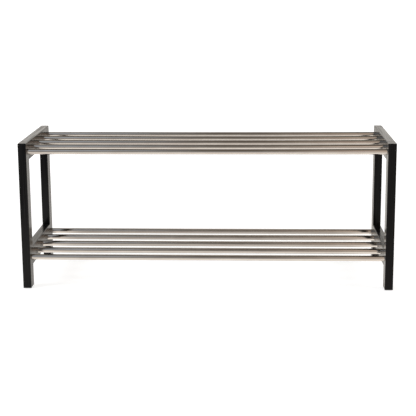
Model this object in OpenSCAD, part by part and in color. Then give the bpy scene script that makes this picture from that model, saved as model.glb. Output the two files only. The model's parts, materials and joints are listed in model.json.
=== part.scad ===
// Entryway bench with a shoe shelf.
//
// Two timber end frames are joined by ten plated steel tubes: five carry the sitter and five
// carry the shoes. Each end frame is two full-height legs with a seat rail and a shelf rail
// dowelled between them. The front and back tubes of both tiers sit in sockets in the legs and
// are pulled tight by a bolt through each leg. The tubes between them sit in blind sockets in
// the rails.
//
// Millimetres. +Z is up, +Y is towards the back, and the origin is on the floor under the
// middle of the bench.

/* [Overall size] */
// Width over both end frames
bench_w = 1120; // [800:10:1400]
// Depth over the legs, front to back
bench_d = 350; // [320:5:420]
// Height of the end frames above the floor
bench_h = 450; // [400:5:500]

/* [End frames] */
// Thickness of the timber, side to side
timber_t = 25; // [24:1:32]
// Depth of a leg, front to back
leg_d = 40; // [38:1:50]
// Height of a rail
rail_h = 55; // [50:1:70]
// Height of the shelf tubes and the middle of the shelf rails above the floor
shelf_z = 96; // [70:1:160]
// Radius of the eased edges of the timber
edge_r = 1.5; // [0.5:0.25:3]

/* [Tubes] */
// Tubes in each tier, front to back
tube_count = 5; // [4:1:5]
// Outside diameter of a tube
tube_od = 17; // [16:0.5:18]
// Wall thickness of a tube
tube_wall = 1.2; // [1:0.1:1.5]
// Depth of the blind socket that holds a tube's end
socket_depth = 10; // [8:0.5:12]

/* [Fasteners] */
// Diameter of the connecting bolts' thread
bolt_d = 6; // [5:1:6]
// Length of a connecting bolt under its head
bolt_len = 30; // [26:1:34]
// Diameter of the bolt head
bolt_head_d = 14; // [12:0.5:16]
// Thickness of the bolt head
bolt_head_t = 2.4; // [2:0.1:3]
// Width across the flats of the hexagon socket
hex_af = 4; // [3:0.5:4]
// Diameter of the dowels
dowel_d = 8; // [6:1:8]
// Length of the dowels
dowel_len = 35; // [30:1:40]
// Height between the two dowels of one joint
dowel_pitch = 30; // [29:1:32]

/* [Glides] */
// Diameter of a glide
glide_d = 20; // [16:1:22]
// Height of a glide
glide_h = 2.5; // [2:0.5:4]

/* [Hidden] */
// Curves are drawn with this many sides
$fn = 96;

// Radial play of a tube in its socket, a dowel in its hole and a plug in its tube
play = 0.05;
// Radial play of a bolt and its head in the timber
bolt_play = 0.2;
// Room left beyond the end of a dowel or a nail in its hole
hole_spare = 0.5;
// Length of the plug in each end of a bolted tube
plug_len = 22;
// Bevel at the mouth of a tube socket and at the ends of the tubes, dowels and bolts
bevel = 0.6;
// Depth of the hexagon socket
hex_depth = 1.8;
// How far a bolt head is let in below the timber's face
head_sink = 0.2;
// Nail that holds a glide: diameter and length of its shank
nail_d = 2;
nail_len = 15;
// Diameter and thickness of the nail's head
nail_head_d = 5;
nail_head_t = 0.8;
// Length of the nail's point, and the radius it ends in
nail_point = 2;
nail_tip_r = 0.2;
// How far the nail head stands above the floor
nail_lift = 0.5;
// Cutters run past the faces that they open by this much
past = 1;

frame_x = bench_w / 2 - timber_t / 2;    // middle of an end frame
inner_x = bench_w / 2 - timber_t;        // inner face of an end frame
leg_y = bench_d / 2 - leg_d / 2;         // middle of a leg
rail_len = bench_d - 2 * leg_d;          // a rail reaches from leg to leg
seat_z = bench_h - rail_h / 2;           // middle of the seat tubes and the seat rails
tube_half = inner_x + socket_depth;      // half a tube's length, to the socket's floor
tube_id = tube_od - 2 * tube_wall;
tube_pitch = 2 * leg_y / (tube_count - 1);
nail_top = nail_lift + nail_head_t + nail_len + nail_point;

SIDES = [["left", -1], ["right", 1]];
ENDS = [["front", -1], ["rear", 1]];
TIERS = [["seat", seat_z], ["shelf", shelf_z]];

// Distance of tube i from the middle of the bench, counted from 1 at the front
function tube_y(i) = -leg_y + (i - 1) * tube_pitch;

// ---- shared shapes ----

// A rectangle with round corners, centred
module rounded_rect(w, h) {
    square([w - 2 * edge_r, h], center = true);
    square([w, h - 2 * edge_r], center = true);
    for (x = [-1, 1], y = [-1, 1])
        translate([x * (w / 2 - edge_r), y * (h / 2 - edge_r)])
            circle(edge_r);
}

// A bar along Y with its four long edges eased and its ends square, centred
module rail_bar(x, y, z) {
    rotate([90, 0, 0])
        linear_extrude(y, center = true)
            rounded_rect(x, z);
}

// A bar along Z with all twelve edges eased, centred
module leg_bar(x, y, z) {
    intersection() {
        linear_extrude(z, center = true)
            rounded_rect(x, y);
        rail_bar(x, y, z);
        rotate([90, 0, 90])
            linear_extrude(x, center = true)
                rounded_rect(y, z);
    }
}

// A round bar along +Z from the origin with both ends bevelled
module bevelled_rod(r, h) {
    cylinder(h = bevel, r1 = r - bevel, r2 = r);
    translate([0, 0, bevel])
        cylinder(h = h - 2 * bevel, r = r);
    translate([0, 0, h - bevel])
        cylinder(h = bevel, r1 = r, r2 = r - bevel);
}

// Children drawn along +Z start at distance x from the middle and run outwards on side sx
module outwards(sx, x, y, z) {
    translate([sx * x, y, z])
        rotate([0, sx * 90, 0])
            children();
}

// ---- cutters ----

// Blind socket for a tube, open at the frame's inner face
module tube_socket(sx, y, z) {
    r = tube_od / 2 + play;
    outwards(sx, inner_x - past, y, z)
        cylinder(h = socket_depth + past, r = r);
    outwards(sx, inner_x, y, z)
        cylinder(h = bevel, r1 = r + bevel, r2 = r);
}

// Hole for a connecting bolt, from the socket's floor to the recess for its head
module bolt_hole(sx, y, z) {
    outwards(sx, inner_x + socket_depth - past, y, z)
        cylinder(h = timber_t, r = bolt_d / 2 + bolt_play);
    outwards(sx, bench_w / 2 - bolt_head_t - head_sink, y, z)
        cylinder(h = bolt_head_t + head_sink + past, r = bolt_head_d / 2 + bolt_play);
}

// Hole for a dowel, centred on the face where rail and leg meet
module dowel_hole(sx, sy, z) {
    translate([sx * frame_x, sy * (rail_len / 2), z])
        rotate([90, 0, 0])
            cylinder(h = dowel_len + 2 * hole_spare, r = dowel_d / 2 + play, center = true);
}

// The dowel holes of both ends of one rail, or of one end
module dowel_holes(sx, ends, z) {
    for (sy = ends, dz = [-1, 1])
        dowel_hole(sx, sy, z + dz * dowel_pitch / 2);
}

// ---- timber ----

module leg(sx, sy) {
    color("#1a1a1c")
        difference() {
            translate([sx * frame_x, sy * leg_y, (bench_h + glide_h) / 2])
                leg_bar(timber_t, leg_d, bench_h - glide_h);
            for (t = TIERS) {
                tube_socket(sx, sy * leg_y, t[1]);
                bolt_hole(sx, sy * leg_y, t[1]);
                dowel_holes(sx, [sy], t[1]);
            }
            translate([sx * frame_x, sy * leg_y, 0])
                cylinder(h = nail_top + hole_spare, r = nail_d / 2 + play);
        }
}

module rail(sx, z) {
    color("#1d1d1f")
        difference() {
            translate([sx * frame_x, 0, z])
                rail_bar(timber_t, rail_len, rail_h);
            for (i = [2:tube_count - 1])
                tube_socket(sx, tube_y(i), z);
            dowel_holes(sx, [-1, 1], z);
        }
}

// The four dowels of one rail
module rail_dowels(sx, z) {
    color("#d9b98c")
        for (sy = [-1, 1], dz = [-1, 1])
            translate([sx * frame_x, sy * rail_len / 2 - dowel_len / 2, z + dz * dowel_pitch / 2])
                rotate([-90, 0, 0])
                    bevelled_rod(dowel_d / 2, dowel_len);
}

// ---- metal ----

// One tube, from socket floor to socket floor
module tube(y, z) {
    color("#b9b3ab")
        translate([-tube_half, y, z])
            rotate([0, 90, 0])
                difference() {
                    bevelled_rod(tube_od / 2, 2 * tube_half);
                    translate([0, 0, -past])
                        cylinder(h = 2 * (tube_half + past), r = tube_id / 2);
                }
}

// Threaded plugs in both ends of the front and back tubes of one tier
module threaded_plugs(z) {
    color("#8f9094")
        for (sx = [-1, 1], sy = [-1, 1])
            outwards(sx, tube_half - plug_len, sy * leg_y, z)
                difference() {
                    bevelled_rod(tube_id / 2 - play, plug_len);
                    translate([0, 0, -past])
                        cylinder(h = plug_len + 2 * past, r = bolt_d / 2 + play);
                }
}

// A connecting bolt along +Z: tip at the origin, head at the top with a hexagon socket
module connecting_bolt() {
    difference() {
        union() {
            cylinder(h = bevel, r1 = bolt_d / 2 - bevel, r2 = bolt_d / 2);
            translate([0, 0, bevel])
                cylinder(h = bolt_len - bevel, r = bolt_d / 2);
            translate([0, 0, bolt_len])
                cylinder(h = bolt_head_t - bevel, r = bolt_head_d / 2);
            translate([0, 0, bolt_len + bolt_head_t - bevel])
                cylinder(h = bevel, r1 = bolt_head_d / 2, r2 = bolt_head_d / 2 - bevel);
        }
        translate([0, 0, bolt_len + bolt_head_t - hex_depth])
            cylinder(h = hex_depth + past, d = hex_af / cos(30), $fn = 6);
    }
}

// The four bolts of one end frame
module connecting_bolts(sx) {
    color("#2b2b2d")
        for (sy = [-1, 1], t = TIERS)
            outwards(sx, bench_w / 2 - head_sink - bolt_head_t - bolt_len, sy * leg_y, t[1])
                connecting_bolt();
}

// ---- glides ----

// A plastic disc under a leg, with a stepped hole for its nail
module glide(sx, sy) {
    color("#111111")
        translate([sx * frame_x, sy * leg_y, 0])
            difference() {
                union() {
                    cylinder(h = bevel, r1 = glide_d / 2 - bevel, r2 = glide_d / 2);
                    translate([0, 0, bevel])
                        cylinder(h = glide_h - bevel, r = glide_d / 2);
                }
                translate([0, 0, -past])
                    cylinder(h = glide_h + 2 * past, r = nail_d / 2 + play);
                translate([0, 0, -past])
                    cylinder(h = past + nail_lift + nail_head_t, r = nail_head_d / 2 + play);
            }
}

// The nails of all four glides
module glide_nails() {
    color("#a0a0a4")
        for (sx = [-1, 1], sy = [-1, 1])
            translate([sx * frame_x, sy * leg_y, nail_lift]) {
                cylinder(h = nail_head_t, r = nail_head_d / 2);
                translate([0, 0, nail_head_t]) {
                    cylinder(h = nail_len, r = nail_d / 2);
                    translate([0, 0, nail_len])
                        cylinder(h = nail_point, r1 = nail_d / 2, r2 = nail_tip_r);
                }
            }
}

// ---- the assembly, one node at a time or all together ----

for (s = SIDES, e = ENDS) {
    leg(s[1], e[1]);
    glide(s[1], e[1]);
}
for (s = SIDES, t = TIERS) {
    rail(s[1], t[1]);
    rail_dowels(s[1], t[1]);
}
for (t = TIERS, i = [1:tube_count])
    tube(tube_y(i), t[1]);
for (t = TIERS)
    threaded_plugs(t[1]);
for (s = SIDES)
    connecting_bolts(s[1]);
glide_nails();
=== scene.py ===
"""Entryway bench: materials, pale floor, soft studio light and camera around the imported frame.

Everything is in metres, in the frame of the CAD: +X to the right, +Y to the back, +Z up, floor at z = 0.
"""
import json
import math

import bpy
from mathutils import Matrix, Vector


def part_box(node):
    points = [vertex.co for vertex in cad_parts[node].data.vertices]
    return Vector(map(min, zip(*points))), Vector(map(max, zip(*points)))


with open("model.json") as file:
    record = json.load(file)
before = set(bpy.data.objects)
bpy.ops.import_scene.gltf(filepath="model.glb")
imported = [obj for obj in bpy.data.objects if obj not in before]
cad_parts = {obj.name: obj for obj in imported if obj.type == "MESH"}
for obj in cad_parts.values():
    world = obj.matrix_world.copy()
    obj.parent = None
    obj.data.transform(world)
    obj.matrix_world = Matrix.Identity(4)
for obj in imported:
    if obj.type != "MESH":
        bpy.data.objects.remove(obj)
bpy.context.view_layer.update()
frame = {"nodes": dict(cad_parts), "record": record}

NODES = frame["nodes"]

# ---------------------------------------------------------------- node tree helpers

# Which of a Mix node's sockets hold colours
MIX_COLOUR_A = 6
MIX_COLOUR_B = 7
MIX_COLOUR_OUT = 2


class NodeTree:
    """The node tree of a material or world, with short calls to add and join nodes."""

    def __init__(self, owner, output):
        owner.use_nodes = True
        self.tree = owner.node_tree
        self.tree.nodes.clear()
        self.output = self.tree.nodes.new("ShaderNode" + output)

    def put(self, socket, value):
        """Sets a socket to a number or colour, or joins another node's output to it."""
        if isinstance(value, bpy.types.NodeSocket):
            self.tree.links.new(value, socket)
        else:
            socket.default_value = value

    def node(self, kind, settings=None, **inputs):
        """Adds a node. An underscore in the name of an input stands for a space."""
        made = self.tree.nodes.new("ShaderNode" + kind)
        for key, value in (settings or {}).items():
            setattr(made, key, value)
        for key, value in inputs.items():
            self.put(made.inputs[key.replace("_", " ")], value)
        return made

    def math(self, operation, a, b=0.0, clamp=False):
        made = self.node("Math", {"operation": operation, "use_clamp": clamp})
        self.put(made.inputs[0], a)
        self.put(made.inputs[1], b)
        return made.outputs[0]

    def noise(self, scale, stretch=(1, 1, 1), detail=4.0, roughness=0.55, distortion=0.0):
        """Noise over the object, with about scale times stretch features in a metre."""
        place = self.node("TexCoord").outputs["Object"]
        mapping = self.node("Mapping", Vector=place, Scale=stretch)
        made = self.node("TexNoise", Vector=mapping.outputs[0], Scale=scale, Detail=detail,
                         Roughness=roughness, Distortion=distortion)
        return made.outputs["Fac"]

    def spread(self, value, low, high, to_low=0.0, to_high=1.0):
        """Maps low..high to to_low..to_high, with a soft start and end."""
        made = self.node("MapRange", {"interpolation_type": "SMOOTHSTEP"}, Value=value,
                         From_Min=low, From_Max=high, To_Min=to_low, To_Max=to_high)
        return made.outputs[0]

    def mix(self, share, a, b):
        """Colour a at share 0 and colour b at share 1."""
        made = self.node("Mix", {"data_type": "RGBA"})
        self.put(made.inputs["Factor"], share)
        self.put(made.inputs[MIX_COLOUR_A], a)
        self.put(made.inputs[MIX_COLOUR_B], b)
        return made.outputs[MIX_COLOUR_OUT]

    def bump(self, height, distance, strength):
        return self.node("Bump", Height=height, Distance=distance, Strength=strength).outputs[0]

    def either(self, share, a, b):
        """Shader a at share 0 and shader b at share 1."""
        made = self.node("MixShader", Fac=share)
        self.put(made.inputs[1], a.outputs[0])
        self.put(made.inputs[2], b.outputs[0])
        return made

    def show(self, shader):
        """This shader is what the surface or the world shows."""
        self.put(self.output.inputs["Surface"], shader.outputs[0])


class Shader(NodeTree):
    """A new material."""

    def __init__(self, name):
        self.material = bpy.data.materials.new(name)
        super().__init__(self.material, "OutputMaterial")

    def surface(self, **inputs):
        self.show(self.node("BsdfPrincipled", **inputs))
        return self.material


# ---------------------------------------------------------------- materials
# Colours are linear. Noise is given in features per metre, or as 1 stretched to that many along x, y and z.

ALONG_Y = "y"
ALONG_Z = "z"
# Index of refraction of the lacquer, which sets how much it mirrors
LACQUER_IOR = 1.27
# How far in from its edges the timber is rubbed
WORN_EDGE = 0.0016


def stretched(grain, along, across):
    """Texture scale for a grain that runs along one axis: few features along it, many across it."""
    return tuple(along if axis == grain else across for axis in "xyz")


def edge_wear(s, node, reach):
    """1 on a box-shaped piece's edges, falling to 0 at reach metres from them."""
    low, high = (Vector(corner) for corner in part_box(node))
    centre = (low + high) / 2
    half = (high - low) / 2
    place = s.node("SeparateXYZ", Vector=s.node("TexCoord").outputs["Object"])
    gaps = []
    for axis in range(3):
        offset = s.math("SUBTRACT", place.outputs[axis], centre[axis])
        gaps.append(s.math("SUBTRACT", half[axis], s.math("ABSOLUTE", offset)))
    nearest = s.math("MINIMUM", s.math("MINIMUM", gaps[0], gaps[1]), gaps[2])
    farthest = s.math("MAXIMUM", s.math("MAXIMUM", gaps[0], gaps[1]), gaps[2])
    total = s.math("ADD", s.math("ADD", gaps[0], gaps[1]), gaps[2])
    second = s.math("SUBTRACT", s.math("SUBTRACT", total, nearest), farthest)
    return s.spread(second, 0.0, reach, 1.0, 0.0)


def black_timber(node, grain):
    """Black-stained, lacquered wood: long fibre streaks, fine pores, rubbed arrises."""
    s = Shader(f"black_timber_{node}")
    figure = s.noise(1.0, stretched(grain, 2.0, 38.0), detail=3.0, distortion=0.6)
    fibre = s.noise(1.0, stretched(grain, 5.0, 300.0), detail=5.0, roughness=0.62)
    pores = s.noise(1.0, stretched(grain, 42.0, 1500.0), detail=2.0)
    pore_depth = s.spread(pores, 0.60, 0.72)
    streaks = s.math("ADD", s.math("MULTIPLY", fibre, 0.65), s.math("MULTIPLY", figure, 0.35))
    tone = s.mix(s.spread(streaks, 0.38, 0.62), (0.0014, 0.0014, 0.0017, 1), (0.0058, 0.0055, 0.0054, 1))
    tone = s.mix(s.math("MULTIPLY", pore_depth, 0.7), tone, (0.0008, 0.0008, 0.0008, 1))
    rub = s.math("MULTIPLY", edge_wear(s, node, WORN_EDGE), s.noise(60.0, detail=3.0))
    tone = s.mix(s.math("MULTIPLY", rub, 0.30), tone, (0.052, 0.046, 0.041, 1))
    rough = s.spread(streaks, 0.42, 0.60, 0.10, 0.30)
    rough = s.math("ADD", rough, s.math("MULTIPLY", pore_depth, 0.12))
    rough = s.math("ADD", rough, s.math("MULTIPLY", rub, 0.12), clamp=True)
    height = s.math("SUBTRACT", s.math("MULTIPLY", streaks, 0.9), s.math("MULTIPLY", pore_depth, 0.6))
    return s.surface(Base_Color=tone, Roughness=rough, IOR=LACQUER_IOR, Normal=s.bump(height, 0.00006, 0.55))


def plated_tube():
    """Polished plated steel with a warm tint, faint drawing lines and handling marks."""
    s = Shader("plated_tube")
    lines = s.noise(1.0, (2.5, 1600.0, 1600.0), detail=3.0, roughness=0.6)
    marks = s.noise(1.0, (14.0, 70.0, 70.0), detail=4.0)
    tint = s.mix(s.spread(marks, 0.35, 0.65), (0.600, 0.545, 0.490, 1), (0.655, 0.605, 0.550, 1))
    rough = s.math("ADD", s.spread(marks, 0.40, 0.70, 0.045, 0.085), s.spread(lines, 0.45, 0.75, 0.0, 0.03))
    return s.surface(Base_Color=tint, Metallic=1.0, Roughness=rough, Normal=s.bump(lines, 0.000001, 0.2))


def dowel_wood():
    """Raw beech: short dark flecks along the grain."""
    s = Shader("dowel_wood")
    flecks = s.spread(s.noise(1.0, (1500.0, 160.0, 1500.0), detail=2.0), 0.58, 0.70)
    figure = s.noise(1.0, (260.0, 9.0, 260.0), detail=3.0)
    tone = s.mix(figure, (0.50, 0.33, 0.18, 1), (0.66, 0.48, 0.29, 1))
    tone = s.mix(s.math("MULTIPLY", flecks, 0.5), tone, (0.30, 0.17, 0.08, 1))
    return s.surface(Base_Color=tone, Roughness=s.spread(figure, 0.3, 0.7, 0.55, 0.75),
                     Normal=s.bump(figure, 0.00008, 0.5))


def black_steel():
    """Black-oxide bolts: slightly mottled, with fine turning lines."""
    s = Shader("black_steel")
    mottle = s.noise(700.0, detail=3.0)
    turned = s.noise(1.0, (90.0, 2200.0, 2200.0), detail=2.0)
    tone = s.mix(mottle, (0.012, 0.012, 0.014, 1), (0.030, 0.029, 0.030, 1))
    return s.surface(Base_Color=tone, Metallic=0.6, Roughness=s.spread(mottle, 0.3, 0.7, 0.32, 0.48),
                     Normal=s.bump(turned, 0.00002, 0.4))


def zinc_steel():
    """Zinc-plated steel: patchy crystals and fine turning lines."""
    s = Shader("zinc_steel")
    patches = s.noise(420.0, detail=3.0, distortion=0.8)
    turned = s.noise(1.0, (2400.0, 240.0, 240.0), detail=2.0)
    tone = s.mix(patches, (0.46, 0.47, 0.50, 1), (0.66, 0.66, 0.66, 1))
    return s.surface(Base_Color=tone, Metallic=1.0, Roughness=s.spread(patches, 0.3, 0.7, 0.26, 0.42),
                     Normal=s.bump(turned, 0.00002, 0.4))


def glide_plastic():
    """Moulded black plastic: fine spark-eroded texture and scuffs from the floor."""
    s = Shader("glide_plastic")
    texture = s.noise(2600.0, detail=2.0)
    scuffs = s.spread(s.noise(1.0, (900.0, 90.0, 90.0), detail=4.0), 0.55, 0.75)
    tone = s.mix(s.math("MULTIPLY", scuffs, 0.4), (0.014, 0.014, 0.015, 1), (0.060, 0.058, 0.056, 1))
    return s.surface(Base_Color=tone, Roughness=s.spread(scuffs, 0.0, 1.0, 0.52, 0.70),
                     Normal=s.bump(texture, 0.00004, 0.5))


def paint(node, material):
    """The node keeps its shape and gets this material in every slot."""
    for material_slot in NODES[node].material_slots:
        material_slot.material = material


def paint_everything():
    """Timber gets a material for each piece, since its grain follows the piece. The rest share theirs."""
    shared = {"plated_tube": plated_tube(), "dowel_wood": dowel_wood(), "black_steel": black_steel(),
              "zinc_steel": zinc_steel(), "glide_plastic": glide_plastic()}
    for part in frame["record"]["subparts"]:
        node, slot = part["node"], part["material_slot"]
        if slot == "black_timber":
            paint(node, black_timber(node, ALONG_Z if node.endswith("_leg") else ALONG_Y))
        else:
            paint(node, shared[slot])


# ---------------------------------------------------------------- floor

FLOOR_SIDE = 120.0
# Just under the glides, so that no two faces lie in one plane
FLOOR_Z = -0.0002
# The floor's matt paint, in soft clouds from the darker to the lighter
FLOOR_DARKER = (0.58, 0.58, 0.58, 1)
FLOOR_LIGHTER = (0.62, 0.62, 0.62, 1)
# How strongly the floor glows for the camera: less near the bench, so that its soft shadow shows, up to
# white far off
FLOOR_GLOW_NEAR = 0.74
FLOOR_GLOW_FAR = 1.0
FLOOR_NEAR_TO = (0.9, 3.0)
# The floor as the polished parts see it: how bright it is, and the shade under the bench as a share of
# that, with the two distances from the bench's middle over which the shade ends to the sides, in front
# and behind
FLOOR_SEEN = (1.20, 1.165, 1.13, 1)
SHADE_UNDER_BENCH = 0.58
SHADE_SIDES = (0.42, 0.56)
SHADE_FRONT = (0.02, 0.22)
SHADE_BEHIND = (0.20, 0.38)
# Its satin sheen mirrors the room where it is met at a low angle, from no sheen to full sheen
SHEEN_FACING = (0.37, 0.82)
SHEEN_COLOUR = (0.95, 0.95, 0.95, 1)
SHEEN_ROUGHNESS = 0.15
# A painted pool of light beside the bench, stronger on the left: there the floor has less sheen, so the
# polished parts see its bright glow instead of the mirrored room. From where outwards, how far from the
# middle that reaches, and how much less sheen there is on the left and on the right
LIGHT_POOL_BESIDE = (0.48, 0.60)
LIGHT_POOL_REACH = (0.80, 1.80)
LIGHT_POOL_LEFT = 0.85
LIGHT_POOL_RIGHT = 0.10


def floor():
    """A plain pale floor that glows a little, so that shadows stay soft. From below it is clear."""
    bpy.ops.mesh.primitive_plane_add(size=FLOOR_SIDE, location=(0, 0, FLOOR_Z))
    plane = bpy.context.object
    plane.name = "floor"
    s = Shader("pale_floor")
    place = s.node("TexCoord").outputs["Object"]

    distance = s.node("VectorMath", {"operation": "LENGTH"}, Vector=place).outputs["Value"]
    matt = s.node("BsdfDiffuse", Color=s.mix(s.noise(1.4, detail=2.0), FLOOR_DARKER, FLOOR_LIGHTER))
    glow = s.node("Emission", Strength=s.spread(distance, *FLOOR_NEAR_TO, FLOOR_GLOW_NEAR, FLOOR_GLOW_FAR))
    lit = s.node("AddShader")
    s.put(lit.inputs[0], matt.outputs[0])
    s.put(lit.inputs[1], glow.outputs[0])

    across, deep, _up = s.node("SeparateXYZ", Vector=place).outputs
    under = s.spread(s.math("ABSOLUTE", across), *SHADE_SIDES, 1.0, 0.0)
    under = s.math("MULTIPLY", under, s.spread(s.math("MULTIPLY", deep, -1.0), *SHADE_FRONT, 1.0, 0.0))
    under = s.math("MULTIPLY", under, s.spread(deep, *SHADE_BEHIND, 1.0, 0.0))
    paper = s.node("Emission", Color=FLOOR_SEEN, Strength=s.spread(under, 0.0, 1.0, 1.0, SHADE_UNDER_BENCH))
    sheen = s.node("BsdfAnisotropic", Color=SHEEN_COLOUR, Roughness=SHEEN_ROUGHNESS)
    facing = s.node("LayerWeight", Blend=0.5).outputs["Facing"]
    # Painted pool of light: beside the bench, more on the left, the sheen gives way to the floor's bright
    # glow
    side = s.spread(across, -LIGHT_POOL_BESIDE[1], LIGHT_POOL_BESIDE[1], LIGHT_POOL_LEFT, LIGHT_POOL_RIGHT)
    light_pool_share = s.math("MULTIPLY", side, s.spread(s.math("ABSOLUTE", across), *LIGHT_POOL_BESIDE))
    light_pool_share = s.math("MULTIPLY", light_pool_share, s.spread(distance, *LIGHT_POOL_REACH, 1.0, 0.0))
    sheen_share = s.math("MULTIPLY", s.spread(facing, *SHEEN_FACING), s.math("SUBTRACT", 1.0, light_pool_share))
    seen = s.either(sheen_share, paper, sheen)

    above = s.either(s.node("LightPath").outputs["Is Glossy Ray"], lit, seen)
    below = s.node("BsdfTransparent")
    s.show(s.either(s.node("NewGeometry").outputs["Backfacing"], above, below))
    plane.data.materials.append(s.material)


# ---------------------------------------------------------------- studio

# Degrees from the front horizon over the top to the back horizon
HALF_TURN = 180
# The walls as the polished parts see them: the angle up from the front horizon and over the top, and the
# light there
WALLS = (
    (0, (0.40, 0.385, 0.370)),
    (18, (0.33, 0.320, 0.310)),
    (35, (0.15, 0.148, 0.145)),
    (50, (0.18, 0.162, 0.145)),
    (65, (0.23, 0.200, 0.172)),
    (80, (0.060, 0.054, 0.046)),
    (95, (0.085, 0.076, 0.063)),
    (128, (0.19, 0.170, 0.148)),
    (148, (0.30, 0.280, 0.255)),
    (163, (1.10, 1.050, 0.980)),
)
# Soft patches on those walls: the angle, its half width and soft edge, the same across (the direction's
# x), and the light added
WINDOW_LEFT = ((52, 27, 26), (-1.10, 1.00, 0.16), (0.27, 0.34, 0.43))
WARM_WALL_RIGHT = ((35, 23, 26), (0.22, 0.15, 0.16), (0.56, 0.455, 0.385))
WINDOW_RIGHT = ((52, 27, 26), (1.10, 0.73, 0.16), (0.30, 0.310, 0.320))
SOFTBOX_ABOVE = ((113, 14, 14), (-0.01, 0.09, 0.09), (0.46, 0.460, 0.475))
STRIP_LEFT = ((74, 8, 8), (-1.10, 0.75, 0.30), (1.50, 1.500, 1.500))
STRIP_RIGHT = ((74, 8, 8), (1.10, 0.75, 0.30), (1.50, 1.500, 1.500))
PATCHES = (WINDOW_LEFT, WARM_WALL_RIGHT, WINDOW_RIGHT, SOFTBOX_ABOVE, STRIP_LEFT, STRIP_RIGHT)
BACKDROP = (1.0, 1.0, 1.0, 1)


def near(w, value, centre, half_width, soft_edge):
    """1 around the centre, falling smoothly to 0 across the soft edge at half_width."""
    offset = w.math("ABSOLUTE", w.math("SUBTRACT", value, centre))
    return w.spread(offset, half_width - soft_edge / 2, half_width + soft_edge / 2, 1.0, 0.0)


def studio_walls():
    """The world: walls seen only in reflections and as soft light. The camera sees a white backdrop."""
    world = bpy.data.worlds.new("studio")
    bpy.context.scene.world = world
    w = NodeTree(world, "OutputWorld")

    direction = w.node("SeparateXYZ", Vector=w.node("TexCoord").outputs["Generated"])
    x, y, z = direction.outputs
    turn = w.math("ARCTAN2", z, w.math("MULTIPLY", y, -1.0))
    angle = w.math("MULTIPLY", turn, HALF_TURN / math.pi)
    ramp = w.node("ValToRGB", Fac=w.math("MULTIPLY", angle, 1 / HALF_TURN))
    stops = ramp.color_ramp.elements
    stops.remove(stops[1])
    for k, (degrees, colour) in enumerate(WALLS):
        stop = stops[0] if k == 0 else stops.new(degrees / HALF_TURN)
        stop.color = (*colour, 1)
    seen = ramp.outputs[0]

    for up, across, colour in PATCHES:
        share = w.math("MULTIPLY", near(w, angle, *up), near(w, x, *across))
        patch = w.node("VectorMath", {"operation": "SCALE"}, Scale=share)
        w.put(patch.inputs[0], colour)
        total = w.node("VectorMath", {"operation": "ADD"})
        w.put(total.inputs[0], seen)
        w.put(total.inputs[1], patch.outputs[0])
        seen = total.outputs[0]

    walls = w.node("Background", Color=seen)
    backdrop = w.node("Background", Color=BACKDROP)
    w.show(w.either(w.node("LightPath").outputs["Is Camera Ray"], walls, backdrop))


SOFTBOX_SIZE = (1.8, 1.4)
SOFTBOX_AIM = (0, 0, 0.25)


def soft_light(name, at, power, colour):
    """A softbox aimed at the bench. The polished parts see the walls' soft patches instead of it."""
    data = bpy.data.lights.new(name, "AREA")
    data.shape = "RECTANGLE"
    data.size, data.size_y = SOFTBOX_SIZE
    data.energy = power
    data.color = colour
    light = bpy.data.objects.new(name, data)
    light.location = at
    light.rotation_euler = (Vector(SOFTBOX_AIM) - Vector(at)).to_track_quat("-Z", "Y").to_euler()
    light.visible_glossy = False
    bpy.context.scene.collection.objects.link(light)


def lights():
    """A cool key from the left and a weaker warm fill from the right."""
    soft_light("key_light", (-3.4, -1.2, 2.6), 60, (0.93, 0.97, 1.0))
    soft_light("fill_light", (3.4, -0.6, 2.6), 40, (1.0, 0.94, 0.86))


# ---------------------------------------------------------------- camera

CAMERA_AT = (0.125, -3.072, 0.958)
# Down from level
CAMERA_PITCH = math.radians(10.763)
CAMERA_YAW = math.radians(2.346)
CAMERA_ROLL = math.radians(-0.397)
CAMERA_LENS = 86.5
CAMERA_SENSOR = 36.0
CAMERA_SHIFT_Y = -0.120
# A camera without a turn looks straight down, and this much about X makes it look level
LEVEL = math.radians(90)


def camera():
    """About a metre up and almost square to the front. The shift keeps the legs closer to upright."""
    data = bpy.data.cameras.new("camera")
    data.lens = CAMERA_LENS
    data.sensor_width = CAMERA_SENSOR
    data.shift_y = CAMERA_SHIFT_Y
    made = bpy.data.objects.new("camera", data)
    turn = (Matrix.Rotation(CAMERA_YAW, 4, "Z") @ Matrix.Rotation(LEVEL - CAMERA_PITCH, 4, "X")
            @ Matrix.Rotation(CAMERA_ROLL, 4, "Z"))
    made.matrix_world = Matrix.Translation(CAMERA_AT) @ turn
    bpy.context.scene.collection.objects.link(made)
    bpy.context.scene.camera = made


# ---------------------------------------------------------------- the scene

paint_everything()
floor()
studio_walls()
lights()
camera()
bpy.context.scene.view_settings.view_transform = "Standard"
